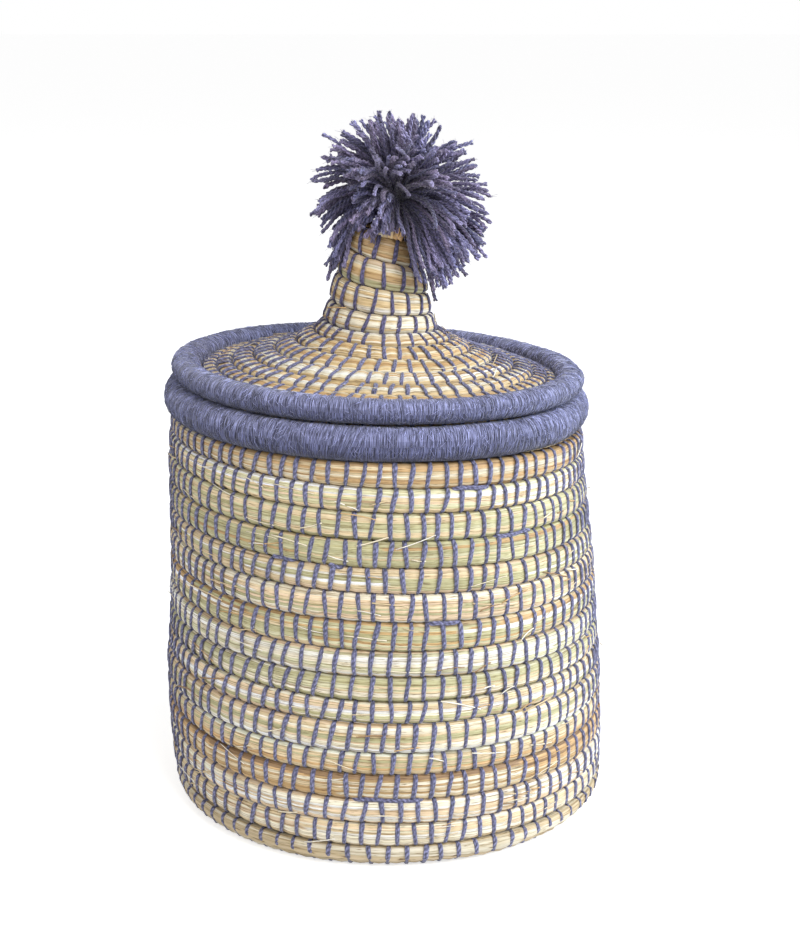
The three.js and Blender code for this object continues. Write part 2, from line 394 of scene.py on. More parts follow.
body_straw = straw_material("body_straw_looks", roughness=0.5)
lid_straw = straw_material("lid_straw_looks", roughness=0.48)
stitch_yarn = yarn_material("stitch_yarn_looks", roughness=0.8, sheen=0.3, groove=0.5)
rim_yarn = thread_material("rim_yarn_looks", roughness=0.85, sheen=0.4)
pompom_wool = yarn_material("pompom_yarn_looks", roughness=0.9, sheen=0.35, groove=0.6)

YARN = linear(112, 113, 148)
SPIRE_YARN = linear(90, 86, 124)
RIM_YARN = linear(114, 117, 153)
WOOL = linear(90, 82, 117)
WOOL_TIP = linear(138, 132, 171)

# Straw colours: white, cream, tan, pale tan, orange, amber, green, pale green, brown, yellow

STRAWS = {
    "w": linear(250, 246, 232),
    "c": linear(243, 233, 206),
    "t": linear(226, 205, 164),
    "p": linear(233, 208, 172),
    "o": linear(213, 176, 124),
    "a": linear(200, 166, 114),
    "g": linear(194, 189, 144),
    "l": linear(214, 210, 172),
    "b": linear(166, 134, 96),
    "s": linear(230, 203, 152),
}


# Straw coils

CURVE_STEPS = 40
COIL_TIP = 0.12
SEAM_SWAY = 0.3
SWAYS_A_LOOP = 11
LEAST_SHARE = 0.08
LEAST_RADIUS = 4
FACE_SQUARENESS = 4.5


class Coil:
    """A straw bundle on a meridian, laid loop by loop. Loop number t grows by 1 each turn."""

    def __init__(self, points, thickness, winding, start, courses, seed, edge_drop=1.9, outside=1):
        self.curve(np.array(points, float))
        self.thickness = thickness
        self.winding = winding
        self.start = start
        self.seed = seed
        self.edge_drop = edge_drop
        self.outside = outside
        self.phase = (winding * (FRONT - start) / TURN) % 1
        self.courses = len(courses)
        self.marks = np.concatenate([[0], np.cumsum(courses)]) * self.length / np.sum(courses)
        self.pitch = self.length / self.courses

    def curve(self, points):
        """A smooth line through the meridian's points: its lengths, its places and the way it goes."""
        ends = np.concatenate([points[:1], points, points[-1:]])
        u = np.arange(CURVE_STEPS)[:, None] / CURVE_STEPS
        parts = []
        for a, b, c, d in zip(ends, ends[1:], ends[2:], ends[3:]):
            v, w = (c - a) / 2, (d - b) / 2
            cubic = (2 * b - 2 * c + v + w) * u ** 3
            square = (3 * c - 3 * b - 2 * v - w) * u ** 2
            parts.append(cubic + square + v * u + b)
        line = np.concatenate([*parts, points[-1:]])
        ahead = unit(np.gradient(line, axis=0))
        self.s = lengths(line[None])[0]
        self.length = self.s[-1]
        self.r, self.z = line[:, 0], line[:, 1]
        self.ahead_r, self.ahead_z = ahead[:, 0], ahead[:, 1]

    def seam(self, t):
        """How far along the meridian the seam after loop t lies. At the front it lies on the course marks."""
        turns = np.asarray(t, float) - self.phase
        place = np.interp(turns, np.arange(self.courses + 1), self.marks, left=-1, right=self.length + 1)
        below = (turns < 0) * turns * self.pitch
        sway = SEAM_SWAY * wander(turns * SWAYS_A_LOOP, self.seed) * np.clip(turns, 0, 1)
        return np.clip(np.where(turns < 0, below, place + sway), 0, self.length)

    def angle(self, t):
        return self.start + self.winding * TURN * np.asarray(t)

    def radius(self, along):
        return np.interp(along, self.s, self.r)

    def at(self, t, along, out):
        """The point on loop t, so far along the meridian and so far out of it."""
        out = self.outside * out
        r = self.radius(along) + np.interp(along, self.s, self.ahead_z) * out
        z = np.interp(along, self.s, self.z) - np.interp(along, self.s, self.ahead_r) * out
        return polar(r, self.angle(t), z)

    def away(self, t, along):
        """The direction out of the face."""
        level = self.outside * np.interp(along, self.s, self.ahead_z)
        drop = -self.outside * np.interp(along, self.s, self.ahead_r)
        return polar(level, self.angle(t), drop)

    def loops(self):
        """The loop numbers that the bundle starts and ends at."""
        return self.phase + COIL_TIP, self.phase + self.courses + 1 - COIL_TIP

    def half(self, t):
        """The middle of a course along the meridian, half its height, and its thickness as a share."""
        lower, upper = self.seam(t - 1), self.seam(t)
        share = np.clip((upper - lower) / self.pitch, LEAST_SHARE, 1)
        return (lower + upper) / 2, (upper - lower) / 2, np.sqrt(share)

    def face(self, place, share):
        """How far the face stands out at a place across the course, from -1 to 1."""
        return share * (self.thickness / 2 - self.edge_drop * np.abs(place) ** FACE_SQUARENESS)


STITCH_UNEVEN = 0.14


def stitch_marks(coil, spacing, seed):
    """Loop numbers of the stitches, a spacing apart along the coil. The spacing depends on the radius."""
    first, last = coil.loops()
    marks, t = [], first
    while t < last:
        marks.append(t)
        middle = (coil.seam(t - 1) + coil.seam(t)) / 2
        radius = max(float(coil.radius(middle)), LEAST_RADIUS)
        t += float(spacing(radius)) * (1 + STITCH_UNEVEN * signed(len(marks), seed)) / (TURN * radius)
    return np.array(marks)


STEM_LEAST = 60
STEM_SPREAD = 90
STRIP_UNEVEN = 0.5
STRIP_WANDER = 70
GROOVE = 0.1
STEM_PROUD = 0.08
STEM_STEP = 0.3
STEM_WAVE = 0.16
STEM_WAVE_LENGTH = 45
SEAM_GAP = 0.1
SEAM_PINCH = 0.34
THINNEST = 0.3
LUMP = 0.35
LUMP_LENGTH = 25
INNER_ROUGH = 0.3
INNER_ROUGH_LENGTH = 30
INNER_PINCH = 0.4
SEAM_PAINTED_SHADE = 0.22


def stems(run, strip, seed):
    """A number for the stem at each place of a strip. It changes where one stem ends and the next begins."""
    return np.floor(run / (STEM_LEAST + STEM_SPREAD * hashed(strip, seed)) + 7 * hashed(strip, seed + 1))


def strip_places(run, strips, seed):
    """The edges and middles of the strips, from -1 to 1 across the course, edge by middle."""
    weights = [1 + STRIP_UNEVEN * wander(run / STRIP_WANDER + 9 * k, seed + k) for k in range(strips)]
    edges = np.concatenate([np.zeros((len(run), 1)), np.cumsum(np.stack(weights, 1), 1)], 1)
    edges = 2 * edges / edges[:, -1:] - 1
    places = np.empty((len(run), 2 * strips + 1))
    places[:, ::2] = edges
    places[:, 1::2] = (edges[:, 1:] + edges[:, :-1]) / 2
    return places


def strip_relief(run, strips, seed):
    """How far the strips' middles stand out, and how deep the grooves between them are."""
    relief = np.full((len(run), 2 * strips + 1), -GROOVE)
    for k in range(strips):
        step = hashed(stems(run, k, seed) * 19 + k, seed + 8) - 0.5
        wave = STEM_WAVE * wander(run / STEM_WAVE_LENGTH, seed + 40 + k)
        relief[:, 2 * k + 1] = STEM_PROUD + STEM_STEP * step + wave
    return relief


def straw_bundle(soup, coil, marks, rows, tones, strips, inner, seed, rings=3, pinch=0.55, plain=0.3):
    """The straw of a coil: strips of stems outside, pinched at each stitch, and coarser strips inside."""
    steps = np.arange(rings) / rings
    t = (marks[:-1, None] + np.diff(marks)[:, None] * steps).ravel()
    t = np.append(t, marks[-1])
    pinched = np.append(np.tile((steps == 0).astype(float), len(marks) - 1), 1.0)
    middle, half, share = coil.half(t)
    half = np.maximum(half - SEAM_GAP - SEAM_PINCH * pinched, THINNEST * half)
    radius = np.maximum(coil.radius(middle), LEAST_RADIUS)
    run = np.concatenate([[0], np.cumsum(np.diff(t) * TURN * (radius[1:] + radius[:-1]) / 2)])
    pinched, share = pinched[:, None], share[:, None]
    outer = strip_places(run, strips, seed)
    sunk = pinch * pinched * (1 - 0.6 * np.abs(outer) ** 4)
    lump = LUMP * wander(run / LUMP_LENGTH, seed + 77)[:, None]
    out = coil.face(outer, share) + (strip_relief(run, strips, seed) - sunk + lump) * share
    back = np.broadcast_to(np.linspace(1, -1, inner), (len(t), inner))
    rough = [INNER_ROUGH * wander(run / INNER_ROUGH_LENGTH, seed + 60 + k) for k in range(inner)]
    inside = -coil.face(back, share) + (np.stack(rough, 1) + INNER_PINCH * pinched) * share
    along = middle[:, None] + half[:, None] * np.concatenate([outer, back], 1)
    points = coil.at(t[:, None], along, np.concatenate([out, inside], 1))
    tint = straw_tints(coil, t, run, rows, tones, strips, inner, seed, plain)
    # Painted shade: the outer strips darken toward the seams, in the crevices between courses
    edge = np.abs(np.linspace(-1, 1, 2 * strips))
    tint[:, :2 * strips] *= (1 - SEAM_PAINTED_SHADE * edge ** 8)[:, None]
    front = np.linspace(0, coil.pitch, 2 * strips + 1)
    behind = coil.pitch + np.linspace(0.3, 1, inner) * coil.pitch
    soup.add(points[None], tint[None], run, np.concatenate([front, behind, [2.3 * coil.pitch]]))


ROW_BLUR = 0.2
STEM_TONE = 0.1
TONE_WAVE = 0.05
SIDE_TONE = 0.06
PALEST = 0.9


def straw_tints(coil, t, run, rows, tones, strips, inner, seed, plain):
    """A colour for each strip of each ring. Each stem is one colour until the next one takes over."""
    kinds = sorted(STRAWS)
    table = np.array([[kinds.index(letter) for letter in row[::-1]] for row in rows])
    colours = np.array([STRAWS[kind] for kind in kinds])
    choices = table.shape[1]
    sides = 2 * strips + 1 + inner
    tint = np.empty((len(t), sides, 3))
    for k in range(sides):
        strip = k // 2 if k < 2 * strips else (k * 5) % strips
        row = np.round(t - coil.phase + ROW_BLUR * (hashed(k // 2, seed + 5) - 0.5)).astype(int)
        row = np.clip(row, 0, len(rows) - 1)
        cell = stems(run, strip, seed)
        swap = hashed(cell * 31 + strip * 7, seed + 2)
        other = np.floor(choices * hashed(cell * 17 + strip * 3, seed + 3)).astype(int)
        kind = np.where(swap < plain, table[row, other], table[row, strip * choices // strips])
        wave = TONE_WAVE * wander(run / 20, seed + 80 + k)
        light = 1 + STEM_TONE * signed(cell * 13 + strip, seed + 4) + wave
        light = light * np.interp(row, np.arange(len(tones)), tones)
        half_tone = 1 + SIDE_TONE * signed(cell * 5 + k, seed + 6)
        tint[:, k] = np.clip(colours[kind] * (light * half_tone)[:, None], 0, PALEST)
    return tint


YARN_RADIUS = 0.95
SHORTEST_STITCH = 1.6
STITCH_SLANT = 0.1
STITCH_BOW = 0.5
STITCH_SINK = 2.4
FRONT_SIDES = 6
BACK_RINGS = 5
BACK_SIDES = 4


def stitches(soup, coil, marks, seed, colour, height, proud, width=YARN_RADIUS, rings=9):
    """Yarn over each course, from the seam below to the seam above, and a coarser pass inside."""
    middle, half, share = coil.half(marks)
    keep = half > SHORTEST_STITCH
    marks, middle, half, share = marks[keep], middle[keep], half[keep], share[keep]
    number = np.arange(len(marks))
    radius = np.maximum(coil.radius(middle), LEAST_RADIUS)
    step = np.gradient(marks)
    slant = coil.winding * coil.outside * step * (STITCH_SLANT + 0.14 * signed(number, seed))
    bow = coil.winding * STITCH_BOW * signed(number, seed + 1) / (TURN * radius)
    fat = 1 + 0.12 * signed(number, seed + 2)
    tone = 1 + 0.14 * signed(number, seed + 3)
    colour = np.broadcast_to(colour, (len(keep), 3))[keep][:, None, None]
    for side, count, corners in ((1, rings, FRONT_SIDES), (-1, BACK_RINGS, BACK_SIDES)):
        q = np.sin(np.linspace(-1, 1, count) * TURN / 4)
        t = marks[:, None] + slant[:, None] * q + bow[:, None] * (1 - q * q)
        along = middle[:, None] + (half[:, None] + 0.2) * q
        out = coil.face(q, share[:, None]) + (proud - STITCH_SINK * np.abs(q) ** 12) * share[:, None]
        path = coil.at(t, along, side * out)
        away = side * coil.away(t, along)
        rough = 1 + 0.12 * wander(3 * q + 11 * number[:, None], seed + 5)
        ragged = (1 + 0.14 * q - 0.25 * np.abs(q) ** 8) * rough
        wide = (width * fat)[:, None] * ragged
        high = (height * fat)[:, None] * ragged
        # Painted shade: each stitch darkens toward its ends, where it sinks into the seams
        tint = colour * tone[:, None, None, None] * (1 - 0.45 * np.abs(q) ** 6)[:, None, None]
        place = lengths(path) + 7 * hashed(number, seed + 4)[:, None]
        soup.add(tubes(path, away, wide, high, corners), tint, place)


SLIVER_RADIUS = 0.16
SLIVER_STRAWS = "wctcob"
SLIVER_LEAST = 5
SLIVER_SPREAD = 12
SLIVER_SLOPE = 0.35
SLIVER_LIFT = 2.4


def scattered(soup, coil, count, seed, skipped=0.2):
    """Fine broken fibres all over a coil. A few of them stand well out at one end."""
    number = np.arange(count)
    first, last = coil.loops()
    t = first + skipped + (last - first - 1 - skipped) * hashed(number, seed)
    place = 1.5 * (hashed(number, seed + 1) - 0.5)
    long = SLIVER_LEAST + SLIVER_SPREAD * hashed(number, seed + 2)
    slope = SLIVER_SLOPE * signed(number, seed + 3)
    lift = SLIVER_LIFT * hashed(number, seed + 4) ** 3
    middle, half, share = coil.half(t)
    q = np.linspace(0, 1, 6)
    loop = t[:, None] + (long / coil.radius(middle) / TURN)[:, None] * q
    along = (middle + half * place)[:, None] + (slope * long)[:, None] * q
    along = np.clip(along + 0.4 * np.sin(3 * q + number[:, None]), 0, coil.length)
    out = (coil.face(place, share) + 0.25)[:, None] + lift[:, None] * q ** 2
    path = coil.at(loop, along, out)
    thin = np.full(loop.shape, SLIVER_RADIUS) * (0.7 + 0.7 * hashed(number, seed + 5))[:, None]
    letters = np.array([STRAWS[letter] for letter in SLIVER_STRAWS])
    tint = letters[(len(letters) * hashed(number, seed + 6)).astype(int)]
    soup.add(tubes(path, coil.away(loop, along), thin * 1.6, thin, 4), tint[:, None, None], lengths(path))


CARRIED_STEPS = 16
CARRIED_SINK = 1.0


def carried(soup, coil, seam_number, start, end, seed):
    """Yarn that runs along a seam for a few stitches, where a new length was joined in."""
    side = np.linspace(math.radians(start), math.radians(end), CARRIED_STEPS)
    t = seam_number + coil.phase + coil.winding * side / TURN
    along = coil.seam(t) + 0.5 * wander(np.linspace(0, 4, CARRIED_STEPS), seed)
    out = coil.thickness / 2 - CARRIED_SINK + 0.4 * wander(np.linspace(0, 5, CARRIED_STEPS), seed + 1)
    out = out - 2.5 * (np.abs(np.linspace(-1, 1, CARRIED_STEPS)) ** 8)
    path = coil.at(t, along, out)[None]
    away = coil.away(t, along)[None]
    wide = np.full((1, CARRIED_STEPS), YARN_RADIUS)
    high = np.full((1, CARRIED_STEPS), YARN_RADIUS * 0.85)
    soup.add(tubes(path, away, wide, high, 8), YARN, lengths(path))


# Basket: a wall of 15 courses on a flat spiral base

WINDING = -1
START = math.radians(-80)
COIL_THICKNESS = 10
STRIPS = 11
WALL_FOOT = 10.3
WALL_COURSES = [10.4, 10.8, 11.4, 9.7, 12.6, 9.3, 10.4, 11.2, 12.3, 11.9, 10.6, 11.3, 11.6, 10.4, 10.2]
WALL_OUTSIDE = [
    (100.5, WALL_FOOT), (100.6, 24), (100.3, 58), (98.0, 86), (96.2, 114), (94.2, 143), (92.2, 174.3),
]
WALL_PATH = [(r - COIL_THICKNESS / 2, z) for r, z in WALL_OUTSIDE]
STITCHES_A_COURSE = 86.2

# Each course's straw colours and tone, from the base's edge up

ROWS = [
    "tcttptc", "ctcpwct", "pcwptwp", "bocotat", "ctgttot", "tctgpcw", "ctpwcgp", "cggltcg",
    "pwwcllw", "aawgglt", "ctpgptw", "ptwgggp", "gaggtgl", "ltggltg", "wlwtpgt", "aotctot",
]
ROW_TONES = [0.86, 0.95, 1, 0.93, 1, 1, 0.99, 0.98, 0.92, 0.97, 0.97, 0.95, 0.95, 1, 1.1, 0.85]

# Where yarn was joined in: the seam's number, and where it starts and ends, in degrees to the right

YARN_JOINS = [(14, 20, 31), (12, 31, 44), (9, 11.8, 20), (11, -27.5, -20.7), (11, -12, -8.6), (2, -8.2, 10)]

wall = Coil(WALL_PATH, COIL_THICKNESS, WINDING, START, WALL_COURSES, 3)
wall_marks = stitch_marks(wall, lambda radius: TURN * radius / STITCHES_A_COURSE, 11)
wall_straw = Soup()
straw_bundle(wall_straw, wall, wall_marks, ROWS, ROW_TONES, STRIPS, 9, 100)
scattered(wall_straw, wall, 300, 700)
wall_straw.build("wall_straw", "basket", "body_straw", body_straw, "wall_coil")

BASE_LEVEL = 5.2
BASE_PATH = [
    (1, BASE_LEVEL), (30, BASE_LEVEL), (60, BASE_LEVEL), (86, BASE_LEVEL), (93.4, BASE_LEVEL),
    (95.6, 6.4), (95.6, WALL_FOOT),
]
BASE_COURSES = [11] * 9
BASE_ROWS = [ROWS[0]] * 11
BASE_TONE = 0.76
BASE_MIDDLE = 30
BASE_SPACINGS = (8.5, 7.4)

base = Coil(BASE_PATH, COIL_THICKNESS, WINDING, START, BASE_COURSES, 5)
base_marks = stitch_marks(base, lambda radius: BASE_SPACINGS[int(radius > BASE_MIDDLE)], 13)
base_straw = Soup()
straw_bundle(base_straw, base, base_marks, BASE_ROWS, [BASE_TONE], STRIPS, 7, 200, rings=2)
base_straw.build("base_straw", "basket", "body_straw", body_straw, "base_coil")

basket_stitches = Soup()
stitches(basket_stitches, wall, wall_marks, 300, YARN, height=0.6, proud=0.02)
stitches(basket_stitches, base, base_marks, 310, YARN, height=0.45, proud=-0.1, rings=11)
for number, (seam_number, start, end) in enumerate(YARN_JOINS):
    carried(basket_stitches, wall, seam_number, start, end, 320 + number)
basket_stitches.build("basket_stitches", "basket", "rim_yarn", stitch_yarn)


# Rims, wrapped with fine yarn

THREAD_RIDGE = [-0.45, 0.06, 0.1]
THREAD_SLANT = 0.28
RIM_SIDES = 18
RIM_ROUNDNESS = 0.98
# Painted shade under each rim, bluer where it is deeper, and painted light on its top
RIM_PAINTED_SHADE = 0.8
RIM_PAINTED_SHADE_FROM = 0.35
RIM_PAINTED_SHADE_REACH = 1.35
RIM_PAINTED_SHADE_POWERS = np.array([1.1, 1.05, 0.75])
RIM_PAINTED_LIGHT = 0.26
HAIR_RADIUS = 0.09
HAIR_LEAST = 0.12
HAIR_SPREAD = 0.35


def wrapped_rim(ring, threads, hairs, seed):
    """A ring of yarn threads, each with a groove beside it, with painted shade below and painted light on
    top.
    """
    radius, foot, width, height = ring
    widths = 1 + 0.3 * signed(np.arange(threads), seed)
    borders = np.concatenate([[0], np.cumsum(widths)]) / widths.sum() * TURN
    steps = np.arange(len(THREAD_RIDGE)) / len(THREAD_RIDGE)
    angle = (borders[:-1, None] + np.diff(borders)[:, None] * steps).ravel()
    thread = np.repeat(np.arange(threads), len(THREAD_RIDGE))
    ridge = np.tile(THREAD_RIDGE, threads)
    turn = TURN * np.arange(RIM_SIDES) / RIM_SIDES

    def surface(angle, turn, lift):
        bend = wander(angle * 60 / TURN, seed + 1) * 0.5 + 0.35 * wander(angle * 17 / TURN, seed + 2)
        swell = 0.35 * wander(angle * 23 / TURN, seed + 3) + lift
        level = np.sign(np.cos(turn)) * np.abs(np.cos(turn)) ** RIM_ROUNDNESS * (width / 2 + swell)
        rise = np.sign(np.sin(turn)) * np.abs(np.sin(turn)) ** RIM_ROUNDNESS * (height / 2 + 0.6 * swell)
        shifted = angle + bend * rise * THREAD_SLANT / radius * 2
        return polar(radius - width / 2 + level, shifted, foot + height / 2 + rise)

    points = surface(angle[:, None], turn, ridge[:, None])
    tone = 1 + 0.2 * signed(thread, seed + 4) + 0.1 * wander(angle * 40 / TURN, seed + 5)
    # Painted shade on the ring's underside and painted light on its top
    under = np.clip(RIM_PAINTED_SHADE_FROM - np.sin(turn), 0, RIM_PAINTED_SHADE_REACH) / RIM_PAINTED_SHADE_REACH
    below = 1 - RIM_PAINTED_SHADE * under ** 1.2
    painted_top_light = 1 + RIM_PAINTED_LIGHT * np.clip(np.sin(turn), 0, 1)[:, None]
    tint = RIM_YARN * tone[:, None, None] * below[:, None] ** RIM_PAINTED_SHADE_POWERS * painted_top_light
    girth = 2 * (width + height) * 0.85
    soup = Soup()
    soup.add(points[None], tint[None], angle * radius, np.linspace(0, girth, RIM_SIDES + 1) / 10, closed=True)
    loose_hairs(soup, surface, hairs, radius, seed + 10)
    return soup


def loose_hairs(soup, surface, count, radius, seed):
    """Fine fibres that stand off a rim's threads in low arches."""
    number = np.arange(count)
    around = TURN * hashed(number, seed)
    first = TURN * hashed(number, seed + 1)
    reach = (0.16 + 0.3 * hashed(number, seed + 2)) * np.sign(hashed(number, seed + 3) - 0.5)
    skew = (0.9 * signed(number, seed + 4)) * 3 / radius
    q = np.linspace(0, 1, 4)
    turns = first[:, None] + reach[:, None] * q
    spin = around[:, None] + skew[:, None] * q
    proud = HAIR_LEAST + HAIR_SPREAD * hashed(number, seed + 5)[:, None] * np.sin(q * TURN / 2)
    path = surface(spin, turns, proud)
    away = unit(path - surface(spin, turns, proud - 1))
    thin = np.full(turns.shape, HAIR_RADIUS)
    # Painted light and shade: hairs are painted up to several times lighter at random as highlights, and
    # darker on the ring's underside
    tone = (0.8 + 2.8 * hashed(number, seed + 6) ** 1.7) * np.interp(np.sin(first), [-0.8, 0.3], [0.3, 1])
    soup.add(tubes(path, away, thin, thin, 3), RIM_YARN * tone[:, None, None, None], lengths(path))


CORE_STEPS = 160
CORE_SIDES = 16
RING_INSET = np.array([-1, 1, -2, -2])


def straw_ring(ring, inset, letters, seed):
    """A closed ring of straw, an inset inside the ring given."""
    radius, foot, width, height = ring + inset * RING_INSET
    angle = TURN * np.arange(CORE_STEPS) / CORE_STEPS
    turn = TURN * np.arange(CORE_SIDES) / CORE_SIDES
    bulge = 0.25 * np.stack([wander(angle * 22 / TURN, seed + k) for k in range(CORE_SIDES)], 1)
    r = radius - width / 2 + np.cos(turn) * (width / 2 + bulge)
    z = foot + height / 2 + np.sin(turn) * (height / 2 + bulge)
    points = polar(r, angle[:, None], z)
    straws = [STRAWS[letters[int(hashed(k, seed + 30) * len(letters))]] for k in range(CORE_SIDES)]
    tint = np.array(straws)[None] * np.ones((CORE_STEPS, 1, 1))
    soup = Soup()
    soup.add(points[None], tint[None], angle * radius, np.linspace(0, 20, CORE_SIDES + 1), closed=True)
    return soup


# Each ring is an outer radius, a foot's height, a width and a height

RIM_RING = (94.7, 174.4, 12.5, 14.4)
RIM_THREADS = 500
RIM_HAIRS = 6500
RIM_CORE_INSET = 1.7
LID_RIM_RING = (91.4, 189.1, 12, 10.2)
LID_RIM_THREADS = 480
LID_RIM_HAIRS = 5500
LID_RIM_CORE_INSET = 1.6

rim_threads = wrapped_rim(RIM_RING, RIM_THREADS, RIM_HAIRS, 400)
rim_threads.build("rim_threads", "basket", "rim_yarn", rim_yarn, "rim_wrap")
lid_rim_threads = wrapped_rim(LID_RIM_RING, LID_RIM_THREADS, LID_RIM_HAIRS, 440)
lid_rim_threads.build("lid_rim_threads", "lid", "rim_yarn", rim_yarn, "lid_rim_wrap")
rim_core = straw_ring(RIM_RING, RIM_CORE_INSET, "tctpo", 470)
rim_core.build("rim_core_straw", "basket", "body_straw", body_straw, "rim_core")
lid_rim_core = straw_ring(LID_RIM_RING, LID_RIM_CORE_INSET, "tcspo", 480)
lid_rim_core.build("lid_rim_core_straw", "lid", "lid_straw", lid_straw, "lid_rim_core")


# Lid: a hollow spire that opens into a shallow cone

LID_THICKNESS = 8
LID_WINDING = 1
LID_START = math.radians(-120)
LID_STRIPS = 9
LID_PATH = [
    (9.6, 258.6), (11.5, 251), (15, 240), (17.5, 229), (20.4, 218), (24.4, 211), (36.3, 204),
    (52, 198.3), (79.2, 191),
]
LID_COURSES = [2.7, 12.7, 11.5, 10.9, 8.7, 8.1, 9.7, 10.4, 10.1, 9.7, 6.3, 6.3]
# Each lid course's straw colours, from the spire's top down; the top courses' darker straws are partly
# painted shadow from the pompom
LID_ROWS = [
    "oobaobo", "oosoaob", "cosopoa", "lgtascp", "cwcscst", "cswcstc", "scotscw",
    "stscost", "cstosct", "sctwsoc", "stowcts", "tcsotsc", "scsttoc", "stcsots",
]
# Each lid course's tone from the top: lowest at the spire's top, as painted shadow from the pompom
LID_PAINTED_SHADOW_TONES = [0.76, 0.74, 0.8, 0.84, 0.87, 0.88, 0.89, 0.9]
LID_SPACING = 6.3
LID_SPACING_GROWTH = 0.004

lid_coil = Coil(LID_PATH, LID_THICKNESS, LID_WINDING, LID_START, LID_COURSES, 7, edge_drop=1.6, outside=-1)
lid_marks = stitch_marks(lid_coil, lambda radius: LID_SPACING + LID_SPACING_GROWTH * radius, 17)
lid_soup = Soup()
straw_bundle(lid_soup, lid_coil, lid_marks, LID_ROWS, LID_PAINTED_SHADOW_TONES, LID_STRIPS, 8, 500, pinch=0.85, plain=0.2)
scattered(lid_soup, lid_coil, 30, 725, skipped=4.5)

# Stems that end at the front of the spire's top: a straw colour, a place to the side, a length and a lean

STUBS = [
    ("c", -2.2, 5.5, -0.35), ("t", -0.6, 4.5, -0.1), ("s", 1.5, 5.5, 0.2), ("o", 3.4, 6.5, 0.3),
    ("o", 5.2, 4.5, 0.5),
]
STUB_X = 1.6
STUB_Y = -13.9
STUB_FOOT = 254.6
STUB_RADIUS = 1.5
STUB_AWAY = np.array([0, -1.0, 0.2])

stub_rise = np.linspace(0, 1, 5)
for letter, stub_side, stub_length, stub_lean in STUBS:
    stub_x = STUB_X + stub_side + stub_lean * stub_length * stub_rise
    stub = np.stack([stub_x, STUB_Y - 0.8 * stub_rise, STUB_FOOT + stub_length * stub_rise], -1)[None]
    stub_wide = STUB_RADIUS * (1 - 0.75 * stub_rise ** 2)[None]
    lid_soup.add(tubes(stub, STUB_AWAY, stub_wide, 0.3 * stub_wide, 6), STRAWS[letter], lengths(stub))
lid_soup.build("lid_straw", "lid", "lid_straw", lid_straw, "lid_coil")

# The stitches get darker up the spire

SPIRE_EDGE = 36
SPIRE_FADE = 14

lid_stitches = Soup()
lid_radius = lid_coil.radius((lid_coil.seam(lid_marks) + lid_coil.seam(lid_marks - 1)) / 2)
on_spire = np.clip((SPIRE_EDGE - lid_radius) / SPIRE_FADE, 0, 1)[:, None]
lid_colours = YARN + (SPIRE_YARN - YARN) * on_spire
stitches(lid_stitches, lid_coil, lid_marks, 540, lid_colours, height=0.55, proud=-0.1, width=0.9)


# Lip: a straw ring under the lid, bound with yarn

LIP_RING = (80.6, 178.1, 8, 10.8)
LIP_INSET = 0.5
LIP_STITCHES = 72
BIND_STEPS = 15
BIND_TURNS = 1.02
BIND_SLANT = 0.016
BIND_INSET = 0.35
BIND_RADIUS = 0.9

lip = straw_ring(LIP_RING, LIP_INSET, "tcspo", 560)
lip.build("lip_straw", "lid", "lid_straw", lid_straw, "lid_lip")

lip_radius, lip_foot, lip_width, lip_height = LIP_RING
bind = np.arange(LIP_STITCHES)
bind_angle = TURN * (bind + 0.3 * hashed(bind, 570))[:, None] / LIP_STITCHES
bind_turn = np.linspace(0, TURN * BIND_TURNS, BIND_STEPS)
bind_spin = bind_angle + BIND_SLANT * np.sin(bind_turn / 2)
bind_r = lip_radius - lip_width / 2 + np.cos(bind_turn) * (lip_width / 2 - BIND_INSET)
bind_z = lip_foot + lip_height / 2 + np.sin(bind_turn) * (lip_height / 2 - BIND_INSET)
bind_path = polar(bind_r, bind_spin, bind_z)
bind_away = polar(np.cos(bind_turn), bind_spin, np.sin(bind_turn))
bind_wide = np.full(bind_spin.shape, BIND_RADIUS)
lid_stitches.add(tubes(bind_path, bind_away, bind_wide, bind_wide * 0.7, 6), YARN, lengths(bind_path))
lid_stitches.build("lid_stitches", "lid", "rim_yarn", stitch_yarn)


# Pompom: strands of plied yarn that spread from the knot over the spire's top

ROOT = np.array([7.0, -2.0, 270.6])
CAMERA_SIDE = unit(np.array(CAMERA_PLACE) / MM - ROOT)
STRANDS = 680
STRAND_RINGS = 58
STRAND_RADIUS = 0.62
PLY_PITCH = 5.4
GOLDEN_SHARE = 0.381966
LOWEST_AIM = -0.5
NEAREST_AIM = 0.9
STRAY_FROM = 0.955
FRAY = 3
CRIMP = 0.8
FIBRES = 7000
FIBRE_RADIUS = 0.07

# The room that the spire takes, as radii at heights

SPIRE_HEIGHTS = [205, 212, 218, 235, 251, 258, 262, 265]
SPIRE_ROOM = [44, 33, 28.3, 23.2, 18, 16, 9, 0]


def offsets(number, seed):
    """A random vector for each number, with shares of -0.5 to 0.5."""
    return np.stack([hashed(number, seed + k) - 0.5 for k in range(3)], -1)


def strand_aims(count, seed):
    """Directions all round the root, except into the spire and straight at the camera."""
    number = np.arange(count)
    level = 1 - 2 * (number + 0.5) / count
    spin = number * TURN * GOLDEN_SHARE + 0.5 * hashed(number, seed)
    aim = polar(np.sqrt(1 - level ** 2), spin, level)
    aim = unit(aim + 0.25 * offsets(number, seed + 1))
    keep = (aim[:, 2] > LOWEST_AIM - 0.35 * np.clip(aim[:, 0], 0, 1)) & (aim @ CAMERA_SIDE < NEAREST_AIM)
    return number[keep], aim[keep]


